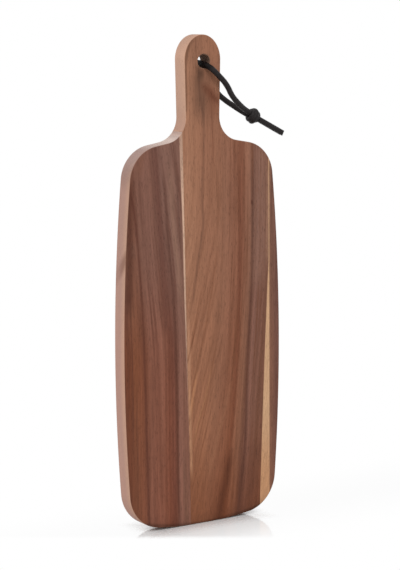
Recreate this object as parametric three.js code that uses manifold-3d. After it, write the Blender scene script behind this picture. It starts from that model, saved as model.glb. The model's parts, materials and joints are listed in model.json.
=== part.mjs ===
// A long hardwood serving board: three edge-glued staves with a handle, and a leather lace
// knotted through the hanging hole. Millimetres, +Z up. The board stands on its lower end,
// its serving face looks along -Y, and the origin is the middle of the lower end.

import * as THREE from 'three';
import { mergeVertices } from 'three/addons/utils/BufferGeometryUtils.js';
import Module from 'manifold-3d';

// Board
const LENGTH = 480;
const WIDTH = 180;
const THICKNESS = 18;
const EDGE_ROUNDING = 1;

// Lower end
const FOOT_WIDTH = 20;
const FOOT_SWEEP_RADIUS = 310;
const FOOT_CORNER_RADIUS = 37.5;

// Bulged sides
const WIDEST_HEIGHT = 170;
const SIDE_RADIUS = 1850;

// Shoulders: the height and slope of their straight stretch where it would meet the centre line
const SHOULDER_HEIGHT = 384.8;
const SHOULDER_SLOPE = THREE.MathUtils.degToRad(10);
const SHOULDER_CORNER_RADIUS = 34.6;

// Handle
const NECK_WIDTH = 38.6;
const NECK_FILLET_RADIUS = 24;
const HANDLE_WIDTH = 41;
const HANDLE_END_LENGTH = 24;
const HOLE_DIAMETER = 13.6;
const HOLE_FROM_END = 25.5;
const HOLE_OFFSET = 1.5;

// Glue joints, at the lower end and at the shoulder height: the left one's distance from the
// centre line, and the right one's from the board's widest right edge
const LEFT_JOINT_FOOT = 16;
const LEFT_JOINT_SHOULDER = 23.2;
const RIGHT_STAVE_FOOT = 11.4;
const RIGHT_STAVE_SHOULDER = 12.6;
const GLUE_THICKNESS = 0.2;
const GLUE_CLEARANCE = 0.05;

// Lace
const LACE_DIAMETER = 5.5;
const LACE_CLEARANCE = 0.3;
const TAIL_LENGTH = 33.2;
const BACK_TAIL_EXTRA = 0.8;
const KNOT_LENGTH = 11.4;
const KNOT_CORE_DIAMETER = 11.4;
const KNOT_TURN_DIAMETER = 9.4;
const KNOT_TURN_TILT = THREE.MathUtils.degToRad(27);
const LACE_SLOPE = THREE.MathUtils.degToRad(27);
const LOOP_ROLL = THREE.MathUtils.degToRad(-16);
const TAIL_ROLL = THREE.MathUtils.degToRad(11);
const KNOT_PLACE = [62.3, -54.4];

// The sides of the hole that the lace lies on, at the front mouth and at the back one
const FRONT_SEAT_ANGLE = THREE.MathUtils.degToRad(-66);
const BACK_SEAT_ANGLE = THREE.MathUtils.degToRad(-27);

// The routes of the two strands from the mouths of the hole towards the knot, measured from the
// hole's centre
const FRONT_ROUTE = [
  [2.6, -12.0, -4.75],
  [4.7, -14.4, -6.6],
  [6.9, -15.8, -9.0],
  [9.6, -16.4, -11.6],
  [14.0, -16.2, -15.4],
  [19.5, -15.2, -20.2],
  [24.2, -14.0, -25.4],
  [28.2, -12.5, -30.8],
  [33.4, -10.3, -36.0],
  [40.7, -7.6, -41.6],
  [47.0, -5.2, -45.7],
];
const BACK_ROUTE = [
  [4.5, 12.0, -2.9],
  [6.4, 14.4, -4.7],
  [8.7, 15.8, -7.0],
  [11.3, 16.4, -9.5],
  [16.0, 16.4, -14.4],
  [21.4, 15.9, -20.7],
  [27.0, 14.9, -27.7],
  [32.8, 13.0, -34.6],
  [39.2, 10.1, -40.3],
  [45.9, 7.0, -45.3],
];

// Smoothness of the round stretches
const CURVE_STEPS = 14;
const ROUNDING_STEPS = 3;
const LACE_SIDES = 10;
const LOOP_STEPS = 64;
const TAIL_STEPS = 4;

const HOLE_HEIGHT = LENGTH - HOLE_FROM_END;
const STRAND_OFFSET = (LACE_DIAMETER + LACE_CLEARANCE) / 2;

const wasm = await Module();
wasm.setup();

// Solids for cutting and joining

function toSolid(geometry) {
  const bare = geometry.clone();
  bare.deleteAttribute('normal');
  bare.deleteAttribute('uv');
  const merged = mergeVertices(bare, 1e-4);
  return new wasm.Manifold(new wasm.Mesh({
    numProp: 3,
    vertProperties: new Float32Array(merged.attributes.position.array),
    triVerts: new Uint32Array(merged.index.array),
  }));
}

function toGeometry(solid) {
  const mesh = solid.getMesh();
  const geometry = new THREE.BufferGeometry();
  geometry.setAttribute('position', new THREE.BufferAttribute(mesh.vertProperties, 3));
  geometry.setIndex(new THREE.BufferAttribute(mesh.triVerts, 1));
  geometry.computeVertexNormals();
  return geometry;
}

// Outline of the board in the X-Z plane, as 2D points (x, height)

function pointOn(centre, towards, radius) {
  return centre.clone().add(towards.clone().sub(centre).setLength(radius));
}

// Centre of the round corner inside two larger circles
function cornerInCircles(centreA, radiusA, centreB, radiusB, radius) {
  const reachA = radiusA - radius;
  const reachB = radiusB - radius;
  const axis = centreB.clone().sub(centreA);
  const span = axis.length();
  const along = (reachA * reachA - reachB * reachB + span * span) / (2 * span);
  const across = Math.sqrt(reachA * reachA - along * along);
  axis.normalize();
  const downwards = new THREE.Vector2(axis.y, -axis.x);
  return centreA.clone().addScaledVector(axis, along).addScaledVector(downwards, across);
}

// Centre of the round corner inside a circle and under a line
function cornerUnderLine(centre, circleRadius, linePoint, lineDirection, lineNormal, radius) {
  const start = linePoint.clone().addScaledVector(lineNormal, -radius);
  const offset = start.clone().sub(centre);
  const reach = circleRadius - radius;
  const half = offset.dot(lineDirection);
  const travel = -half + Math.sqrt(half * half - offset.lengthSq() + reach * reach);
  return start.addScaledVector(lineDirection, travel);
}

function arcPoints(centre, from, to, steps) {
  const radius = from.distanceTo(centre);
  const startAngle = from.clone().sub(centre).angle();
  const turn = THREE.MathUtils.euclideanModulo(
    to.clone().sub(centre).angle() - startAngle + Math.PI, 2 * Math.PI) - Math.PI;
  const points = [];
  for (let step = 0; step <= steps; step += 1) {
    const angle = startAngle + (turn * step) / steps;
    points.push(new THREE.Vector2(
      centre.x + radius * Math.cos(angle), centre.y + radius * Math.sin(angle)));
  }
  return points;
}

// The right half of the outline, from the lower end's flat to the top of the handle
function halfOutline() {
  const footEdge = new THREE.Vector2(FOOT_WIDTH / 2, 0);
  const footCentre = new THREE.Vector2(FOOT_WIDTH / 2, FOOT_SWEEP_RADIUS);
  const sideCentre = new THREE.Vector2(WIDTH / 2 - SIDE_RADIUS, WIDEST_HEIGHT);
  const cornerCentre = cornerInCircles(
    sideCentre, SIDE_RADIUS, footCentre, FOOT_SWEEP_RADIUS, FOOT_CORNER_RADIUS);
  const cornerStart = pointOn(footCentre, cornerCentre, FOOT_SWEEP_RADIUS);
  const sideStart = pointOn(sideCentre, cornerCentre, SIDE_RADIUS);

  const shoulderStart = new THREE.Vector2(0, SHOULDER_HEIGHT);
  const shoulderRun = new THREE.Vector2(Math.cos(SHOULDER_SLOPE), -Math.sin(SHOULDER_SLOPE));
  const shoulderUp = new THREE.Vector2(Math.sin(SHOULDER_SLOPE), Math.cos(SHOULDER_SLOPE));
  const shoulderCentre = cornerUnderLine(
    sideCentre, SIDE_RADIUS, shoulderStart, shoulderRun, shoulderUp, SHOULDER_CORNER_RADIUS);
  const sideEnd = pointOn(sideCentre, shoulderCentre, SIDE_RADIUS);
  const shoulderEdge = shoulderCentre.clone().addScaledVector(shoulderUp, SHOULDER_CORNER_RADIUS);

  const neckSide = NECK_WIDTH / 2;
  const filletStart = shoulderStart.clone().addScaledVector(shoulderUp, NECK_FILLET_RADIUS);
  const filletRun = (neckSide + NECK_FILLET_RADIUS - filletStart.x) / shoulderRun.x;
  const filletCentre = filletStart.addScaledVector(shoulderRun, filletRun);
  const filletLow = filletCentre.clone().addScaledVector(shoulderUp, -NECK_FILLET_RADIUS);
  const filletHigh = new THREE.Vector2(neckSide, filletCentre.y);

  const handleEnd = new THREE.EllipseCurve(
    0, LENGTH - HANDLE_END_LENGTH, HANDLE_WIDTH / 2, HANDLE_END_LENGTH, 0, Math.PI / 2);

  return [
    ...arcPoints(footCentre, footEdge, cornerStart, CURVE_STEPS / 2),
    ...arcPoints(cornerCentre, cornerStart, sideStart, CURVE_STEPS).slice(1),
    ...arcPoints(sideCentre, sideStart, sideEnd, CURVE_STEPS).slice(1),
    ...arcPoints(shoulderCentre, sideEnd, shoulderEdge, CURVE_STEPS).slice(1),
    ...arcPoints(filletCentre, filletLow, filletHigh, CURVE_STEPS),
    ...handleEnd.getPoints(CURVE_STEPS),
  ];
}

function boardShape() {
  const right = halfOutline();
  const left = right.slice(0, -1).reverse().map((point) => new THREE.Vector2(-point.x, point.y));
  const shape = new THREE.Shape([...right, ...left]);
  const hole = new THREE.Path();
  hole.absarc(HOLE_OFFSET, HOLE_HEIGHT, HOLE_DIAMETER / 2, 0, 2 * Math.PI, true);
  shape.holes.push(hole);
  return shape;
}

// Extrudes a shape drawn in X and height through the thickness, centred on the board's middle plane
function throughThickness(shape, thickness, rounding) {
  const geometry = new THREE.ExtrudeGeometry(shape, {
    depth: thickness - 2 * rounding,
    curveSegments: CURVE_STEPS,
    bevelEnabled: rounding > 0,
    bevelThickness: rounding,
    bevelSize: rounding,
    bevelOffset: -rounding,
    bevelSegments: ROUNDING_STEPS,
  });
  geometry.translate(0, 0, rounding - thickness / 2);
  geometry.rotateX(Math.PI / 2);
  return geometry;
}

// Staves and glue lines: straight-edged blanks, cut to the outline of the whole board

const LEFT_JOINT = { foot: -LEFT_JOINT_FOOT, shoulder: -LEFT_JOINT_SHOULDER };
const RIGHT_JOINT = {
  foot: WIDTH / 2 - RIGHT_STAVE_FOOT,
  shoulder: WIDTH / 2 - RIGHT_STAVE_SHOULDER,
};
const JOINT_HALF = GLUE_THICKNESS / 2 + GLUE_CLEARANCE;

// Where a joint's middle line lies at a height, moved sideways by an offset
function jointAt(joint, height, offset) {
  const share = height / SHOULDER_HEIGHT;
  return new THREE.Vector2(joint.foot + (joint.shoulder - joint.foot) * share + offset, height);
}

// A blank between two slanting edges that overhangs the board on every other side
function blank(leftEdge, rightEdge) {
  const low = -THICKNESS;
  const high = LENGTH + THICKNESS;
  const outline = [leftEdge(low), rightEdge(low), rightEdge(high), leftEdge(high)];
  return toSolid(throughThickness(new THREE.Shape(outline), 2 * THICKNESS, 0));
}

const board = toSolid(throughThickness(boardShape(), THICKNESS, EDGE_ROUNDING));
const leftOfBoard = (height) => new THREE.Vector2(-WIDTH, height);
const rightOfBoard = (height) => new THREE.Vector2(WIDTH, height);

function cutStave(leftEdge, rightEdge) {
  return toGeometry(board.intersect(blank(leftEdge, rightEdge)));
}

function cutGlueLine(joint) {
  return cutStave(
    (height) => jointAt(joint, height, -GLUE_THICKNESS / 2),
    (height) => jointAt(joint, height, GLUE_THICKNESS / 2));
}

// Lace, in a group of its own whose origin is the centre of the hanging hole

const laceRun = new THREE.Vector3(Math.cos(LACE_SLOPE), 0, -Math.sin(LACE_SLOPE));
const knotCentre = new THREE.Vector3(KNOT_PLACE[0], 0, KNOT_PLACE[1]);

// A point on the straight run of lace through the knot, on the front (-1) or back (+1) strand
function besideKnot(distance, side) {
  const aside = new THREE.Vector3(0, side * STRAND_OFFSET, 0);
  aside.applyAxisAngle(laceRun, distance < 0 ? LOOP_ROLL : TAIL_ROLL);
  return knotCentre.clone().addScaledVector(laceRun, distance).add(aside);
}

// The point where the lace lies on the wall of the hole, at the front (-1) or the back (+1) mouth
function seatInHole(side, angle) {
  const reach = (HOLE_DIAMETER - LACE_DIAMETER) / 2 - LACE_CLEARANCE;
  return new THREE.Vector3(
    reach * Math.cos(angle), (side * THICKNESS) / 2, reach * Math.sin(angle));
}

function laceSection() {
  const points = [];
  for (let side = 0; side < LACE_SIDES; side += 1) {
    const angle = (2 * Math.PI * side) / LACE_SIDES;
    points.push(new THREE.Vector2(Math.cos(angle), Math.sin(angle)).multiplyScalar(LACE_DIAMETER / 2));
  }
  return new THREE.Shape(points);
}

function laceTube(points, steps) {
  const path = new THREE.CatmullRomCurve3(points, false, 'centripetal');
  return new THREE.ExtrudeGeometry(laceSection(), { steps, extrudePath: path, bevelEnabled: false });
}

function loopGeometry() {
  const knotFace = -KNOT_LENGTH / 2 - LACE_CLEARANCE;
  const lead = knotFace - LACE_DIAMETER;
  const front = FRONT_ROUTE.map((point) => new THREE.Vector3(...point));
  const back = BACK_ROUTE.map((point) => new THREE.Vector3(...point));
  return laceTube([
    besideKnot(knotFace, -1),
    besideKnot(lead, -1),
    ...front.reverse(),
    seatInHole(-1, FRONT_SEAT_ANGLE),
    seatInHole(1, BACK_SEAT_ANGLE),
    ...back,
    besideKnot(lead, 1),
    besideKnot(knotFace, 1),
  ], LOOP_STEPS);
}

function tailGeometry(side, length) {
  const start = KNOT_LENGTH / 2 + LACE_CLEARANCE;
  return laceTube([besideKnot(start, side), besideKnot(start + length, side)], TAIL_STEPS);
}

// A short core with two crossing turns of lace round it
function knotGeometry() {
  const half = KNOT_LENGTH / 2;
  const radius = KNOT_CORE_DIAMETER / 2;
  const core = new THREE.LatheGeometry([
    new THREE.Vector2(0, -half),
    new THREE.Vector2(radius, -half),
    new THREE.Vector2(radius, half),
    new THREE.Vector2(0, half),
  ], 2 * LACE_SIDES);
  const turn = new THREE.TorusGeometry(
    KNOT_TURN_DIAMETER / 2, LACE_DIAMETER / 2, LACE_SIDES, 2 * LACE_SIDES);
  turn.rotateX(Math.PI / 2);
  const leaningLeft = turn.clone().rotateZ(KNOT_TURN_TILT);
  const leaningRight = turn.clone().rotateZ(-KNOT_TURN_TILT);
  const geometry = toGeometry(toSolid(core).add(toSolid(leaningLeft)).add(toSolid(leaningRight)));
  geometry.rotateZ(-Math.PI / 2);
  geometry.rotateY(LACE_SLOPE);
  return geometry.translate(knotCentre.x, knotCentre.y, knotCentre.z);
}

// Finishes

function wood(colour) {
  return new THREE.MeshStandardMaterial({ color: colour, roughness: 0.55, metalness: 0 });
}

const redBrownWood = wood(0x6a4334);
const orangeBrownWood = wood(0x865a42);
const darkWood = wood(0x6b4a3c);
const glue = new THREE.MeshStandardMaterial({ color: 0xb08262, roughness: 0.7, metalness: 0 });
const leather = new THREE.MeshStandardMaterial({ color: 0x1d1b1b, roughness: 0.6, metalness: 0 });

function named(name, geometry, material) {
  const mesh = new THREE.Mesh(geometry, material);
  mesh.name = name;
  return mesh;
}

// Assembly

const staves = new THREE.Group();
staves.add(
  named('left_stave', cutStave(
    leftOfBoard,
    (height) => jointAt(LEFT_JOINT, height, -JOINT_HALF)), redBrownWood),
  named('left_glue_line', cutGlueLine(LEFT_JOINT), glue),
  named('centre_stave', cutStave(
    (height) => jointAt(LEFT_JOINT, height, JOINT_HALF),
    (height) => jointAt(RIGHT_JOINT, height, -JOINT_HALF)), orangeBrownWood),
  named('right_glue_line', cutGlueLine(RIGHT_JOINT), glue),
  named('right_stave', cutStave(
    (height) => jointAt(RIGHT_JOINT, height, JOINT_HALF),
    rightOfBoard), darkWood),
);

const lace = new THREE.Group();
lace.position.set(HOLE_OFFSET, 0, HOLE_HEIGHT);
lace.add(
  named('lace_loop', loopGeometry(), leather),
  named('lace_knot', knotGeometry(), leather),
  named('lace_front_tail', tailGeometry(-1, TAIL_LENGTH), leather),
  named('lace_back_tail', tailGeometry(1, TAIL_LENGTH + BACK_TAIL_EXTRA), leather),
);

const servingBoard = new THREE.Group();
servingBoard.add(staves, lace);

export default servingBoard;
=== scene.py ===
"""Serving board of three edge-glued hardwood staves, with a leather lace knotted through its handle.

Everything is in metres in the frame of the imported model: +Z runs up along the board, the serving
face looks towards -Y, and the origin is the middle of the lower end that the board stands on.
Only the finishes count in millimetres.
"""

import json
import logging
import math
from collections.abc import Mapping, Sequence
from dataclasses import dataclass, field
from enum import Enum
from typing import NamedTuple

import bmesh
import bpy
from bmesh.types import BMEdge, BMesh, BMVert
from bpy.types import Material, NodeSocket, Object, World
from mathutils import Matrix, Quaternion, Vector, noise

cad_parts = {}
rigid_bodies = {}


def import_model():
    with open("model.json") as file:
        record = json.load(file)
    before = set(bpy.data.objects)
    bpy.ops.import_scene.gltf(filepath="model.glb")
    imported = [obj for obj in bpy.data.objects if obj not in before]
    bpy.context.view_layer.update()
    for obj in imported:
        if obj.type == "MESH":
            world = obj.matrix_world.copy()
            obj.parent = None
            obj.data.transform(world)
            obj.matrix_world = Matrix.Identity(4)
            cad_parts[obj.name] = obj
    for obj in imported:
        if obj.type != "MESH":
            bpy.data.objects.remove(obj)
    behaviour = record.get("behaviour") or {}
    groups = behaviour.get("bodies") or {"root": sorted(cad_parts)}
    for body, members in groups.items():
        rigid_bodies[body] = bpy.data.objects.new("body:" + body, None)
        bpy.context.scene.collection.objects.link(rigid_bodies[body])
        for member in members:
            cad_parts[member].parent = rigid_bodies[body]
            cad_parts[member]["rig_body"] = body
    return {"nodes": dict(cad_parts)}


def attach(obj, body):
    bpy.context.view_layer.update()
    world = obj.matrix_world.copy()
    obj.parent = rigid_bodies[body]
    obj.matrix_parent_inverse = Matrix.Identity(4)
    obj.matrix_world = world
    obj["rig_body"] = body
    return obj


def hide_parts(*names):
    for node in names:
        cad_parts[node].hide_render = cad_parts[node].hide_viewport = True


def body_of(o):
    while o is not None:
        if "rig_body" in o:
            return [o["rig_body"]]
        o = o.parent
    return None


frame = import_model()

logging.basicConfig(level=logging.INFO, format="%(message)s")
log = logging.getLogger("serving_board")

MM = 0.001
FRONT = Vector((0, -1, 0))
# Where the axis of the hanging hole crosses the serving face, as x and z in millimetres.
HOLE_PLACE = (1.5, 454.5)
# Width and height of the chart that holds a streak's places, in millimetres.
STREAK_CHART = (200.0, 500.0)

Colour = tuple[float, float, float, float]
# A smooth change: where it begins and is complete, then what it goes from and to if not from 0 to 1.
Ramp = tuple[float, ...]
# Where a smooth rise from 0 to 1 and a fall back to 0 begin and are complete.
Stretch = tuple[tuple[float, float], tuple[float, float]]


def screen_colour(red: int, green: int, blue: int) -> Colour:
    """Turns an 8-bit screen colour into the linear colour that shaders take.

    Args:
        red: Red from 0 to 255.
        green: Green from 0 to 255.
        blue: Blue from 0 to 255.

    Returns:
        The linear colour with an alpha of 1.
    """
    def linear(channel: int) -> float:
        """Undoes the screen's tone curve on one channel."""
        share = channel / 255
        return share / 12.92 if share <= 0.04045 else ((share + 0.055) / 1.055) ** 2.4

    return (linear(red), linear(green), linear(blue), 1.0)


def new_piece(name: str, bm: BMesh, material: Material) -> Object:
    """Makes a scene object from a finished bmesh, which it frees.

    Args:
        name: The piece's name.
        bm: The shape, in place in the row frame.
        material: The finish of the whole piece.

    Returns:
        The new object, at the origin.
    """
    mesh = bpy.data.meshes.new(name)
    bm.to_mesh(mesh)
    bm.free()
    mesh.materials.append(material)
    piece = bpy.data.objects.new(name, mesh)
    bpy.context.scene.collection.objects.link(piece)
    return piece


@dataclass(frozen=True)
class Signal:
    """A number, vector, colour or shader that nodes work out at each shaded point."""

    sheet: "NodeSheet"
    socket: NodeSocket

    def __add__(self, other: "Value") -> "Signal":
        """Adds a number."""
        return self.sheet.math("ADD", self, other)

    def __sub__(self, other: "Value") -> "Signal":
        """Takes a number away."""
        return self.sheet.math("SUBTRACT", self, other)

    def __rsub__(self, other: float) -> "Signal":
        """Takes this number away from another."""
        return self.sheet.math("SUBTRACT", other, self)

    def __mul__(self, other: "Value") -> "Signal":
        """Multiplies by a number."""
        return self.sheet.math("MULTIPLY", self, other)

    def __truediv__(self, other: "Value") -> "Signal":
        """Divides by a number."""
        return self.sheet.math("DIVIDE", self, other)

    def __pow__(self, exponent: float) -> "Signal":
        """Raises a number to a power."""
        return self.sheet.math("POWER", self, exponent)

    def __abs__(self) -> "Signal":
        """Drops a number's sign."""
        return self.sheet.math("ABSOLUTE", self)

    def at_least(self, other: "Value") -> "Signal":
        """Gives the greater of two numbers."""
        return self.sheet.math("MAXIMUM", self, other)

    def ease(self, low: float, high: float, start: float = 0.0, end: float = 1.0) -> "Signal":
        """Goes smoothly from start to end while this number goes from low to high.

        Args:
            low: Where the change begins.
            high: Where the change is complete.
            start: What is returned below low.
            end: What is returned above high.

        Returns:
            The eased number.
        """
        inputs = dict(enumerate((self, low, high, start, end)))
        return self.sheet.make("MapRange", inputs, interpolation_type="SMOOTHSTEP")

    def between(self, rise: tuple[float, float], fall: tuple[float, float]) -> "Signal":
        """Goes smoothly from 0 to 1 over the rise, and back to 0 over the fall."""
        return self.ease(*rise) * self.ease(*fall, 1.0, 0.0)

    def leaning(self, onset: float, slope: float) -> "Signal":
        """Gives how far sideways a line that starts upright has leaned.

        This number is how far along the line the point is, negative before it starts to lean.

        Args:
            onset: Over what length the lean sets in.
            slope: Its full lean, as sideways over along.

        Returns:
            The sideways shift, zero before the start.
        """
        past = self.at_least(0.0)
        return past * past / (past + onset) * slope

    def towards(self, share: "Value", other: "Signal | Colour") -> "Signal":
        """Turns a colour into another by a share from 0 to 1."""
        return self.sheet.blend(share, self, other)

    def lit(self, factor: "Value") -> "Signal":
        """Makes a colour lighter or darker by a factor."""
        return self.sheet.make("VectorMath", {0: self, "Scale": factor}, operation="SCALE")

    def enriched(self, factor: "Value") -> "Signal":
        """Makes a colour more or less saturated by a factor."""
        return self.sheet.make("HueSaturation", {"Saturation": factor, "Color": self})


Value = float | Signal


class Place(NamedTuple):
    """Where a shaded point lies on the board, in millimetres."""

    x: Signal
    y: Signal
    z: Signal

    @property
    def sheet(self) -> "NodeSheet":
        """The sheet that the point belongs to."""
        return self.x.sheet

    def from_hole(self) -> Signal:
        """Gives how far the point lies from the axis of the hanging hole."""
        aside, rise = self.x - HOLE_PLACE[0], self.z - HOLE_PLACE[1]
        return (aside * aside + rise * rise) ** 0.5


class NodeSheet:
    """One node tree, filled in through short calls that return signals."""

    def __init__(self, owner: Material | World) -> None:
        """Empties a node tree.

        Args:
            owner: The material or world that the tree belongs to.
        """
        self.owner = owner
        owner.use_nodes = True
        self.tree = owner.node_tree
        self.tree.nodes.clear()

    def make(
        self,
        kind: str,
        inputs: Mapping[int | str, Value | Colour],
        output: int | str = 0,
        **settings: str,
    ) -> Signal:
        """Adds a node for one of its outputs.

        Args:
            kind: The node's type name, without ShaderNode.
            inputs: What its sockets get, by their index or name.
            output: The output's index or name.
            **settings: Properties to set on it first.

        Returns:
            The output.
        """
        node = self.tree.nodes.new("ShaderNode" + kind)
        for key, setting in settings.items():
            setattr(node, key, setting)
        for key, value in inputs.items():
            if isinstance(value, Signal):
                self.tree.links.new(value.socket, node.inputs[key])
            else:
                node.inputs[key].default_value = value
        return Signal(self, node.outputs[output])

    def math(self, operation: str, first: Value, second: Value = 0.0) -> Signal:
        """Works out one sum, product or other operation on two numbers."""
        return self.make("Math", {0: first, 1: second}, operation=operation)

    def vector(self, x: Value, y: Value, z: Value) -> Signal:
        """Joins three numbers into a vector."""
        return self.make("CombineXYZ", {0: x, 1: y, 2: z})

    def millimetres(self) -> Place:
        """Gives the shaded point in the piece's own coordinates, in millimetres."""
        split = self.make("SeparateXYZ", {0: self.make("TexCoord", {}, "Object").lit(1 / MM)})
        return Place(*(Signal(self, socket) for socket in split.socket.node.outputs))

    def noise(self, vector: Signal, scale: float, detail: float) -> Signal:
        """Gives soft noise about 0.5, with a number of finer layers."""
        return self.make("TexNoise", {"Vector": vector, "Scale": scale, "Detail": detail})

    def blend(self, share: Value, first: Signal | Colour, second: Signal | Colour) -> Signal:
        """Goes from the first colour to the second as the share goes from 0 to 1."""
        return self.make("Mix", {0: share, 6: first, 7: second}, 2, data_type="RGBA")

    def end(self, shader: Signal, kind: str) -> None:
        """Hands the finished shader over to an output node of the given type."""
        self.tree.links.new(shader.socket, self.tree.nodes.new(kind).inputs["Surface"])

    def surface(
        self, colour: Signal, roughness: Value, height: Signal, depth: float, **sockets: Value
    ) -> Material:
        """Ends a material's sheet with the shader.

        Args:
            colour: Base colour.
            roughness: Roughness from 0 to 1.
            height: Relief from 0 to 1.
            depth: How deep a relief of 1 is, in metres.
            **sockets: Other shader sockets, by name with _ for a space.

        Returns:
            The finished material.
        """
        inputs = {"Base Color": colour, "Roughness": roughness}
        inputs["Normal"] = self.make("Bump", {"Distance": depth, "Height": height})
        inputs.update((name.replace("_", " "), value) for name, value in sockets.items())
        self.end(self.make("BsdfPrincipled", inputs), "ShaderNodeOutputMaterial")
        return self.owner


@dataclass(frozen=True)
class GlueJoint:
    """Straight line along which two staves meet, leaning a little from the lower end up."""

    at_foot: float
    at_shoulder: float
    shoulder_height: float = 384.8 * MM

    @property
    def lean(self) -> float:
        """How far the joint moves to the right for each metre up."""
        return (self.at_shoulder - self.at_foot) / self.shoulder_height

    def normal(self) -> Vector:
        """Points across the joint, to the right."""
        return Vector((1, 0, -self.lean)).normalized()

    def inside(self, place: Place) -> Signal:
        """Gives how far left of the joint a shaded point lies, in millimetres."""
        return place.z * self.lean + self.at_foot / MM - place.x


LEFT_JOINT = GlueJoint(-16.0 * MM, -23.2 * MM)
RIGHT_JOINT = GlueJoint(78.6 * MM, 77.4 * MM)


class Figure(NamedTuple):
    """Noise in the wood: its length over its width, its scale and its number of finer layers."""

    length: float
    scale: float
    layers: int


class Band(NamedTuple):
    """The screen colour of the wood at one place across the grain, in millimetres."""

    across: float
    red: int
    green: int
    blue: int


@dataclass(frozen=True)
class ColourStreak:
    """A soft streak of a screen colour, a vein of the wood or a painted shadow, through places (x, z) of
    the serving face in millimetres.
    """

    colour: tuple[int, int, int]
    width: float
    strength: float
    places: tuple[tuple[float, float], ...]
    fade: float = 24.0
    swerve: float = 3.0
    unevenness: Ramp = (0.3, 0.6, 0.6, 1.0)

    def middle(self, place: Place) -> Signal:
        """Gives where the streak's middle lies across the board at a point's height.

        Args:
            place: The shaded point.

        Returns:
            The place across, in millimetres.
        """
        across, high = STREAK_CHART
        curve = place.sheet.make("FloatCurve", {"Value": place.z / high})
        mapping = curve.socket.node.mapping
        points = mapping.curves[0].points
        spots = sorted((z / high, x / across + 0.5) for x, z in self.places)
        points[0].location, points[1].location = spots[0], spots[-1]
        for spot in spots[1:-1]:
            points.new(*spot)
        mapping.update()
        return (curve - 0.5) * across

    def paint(self, place: Place, colour: Signal, waver: Signal) -> Signal:
        """Lays the streak over the wood.

        Args:
            place: The shaded point.
            colour: The wood's colour there.
            waver: Noise about 0.5 that makes the streak uneven.

        Returns:
            The colour with the streak in it.
        """
        low, high = min(z for _, z in self.places), max(z for _, z in self.places)
        reach = self.fade / 2
        off = abs(place.x + (waver - 0.5) * self.swerve - self.middle(place))
        share = off.ease(0.0, self.width / 2, self.strength, 0.0)
        share = share * place.z.between((low - reach, low + reach), (high - reach, high + reach))
        return colour.towards(share * waver.ease(*self.unevenness), screen_colour(*self.colour))


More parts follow.
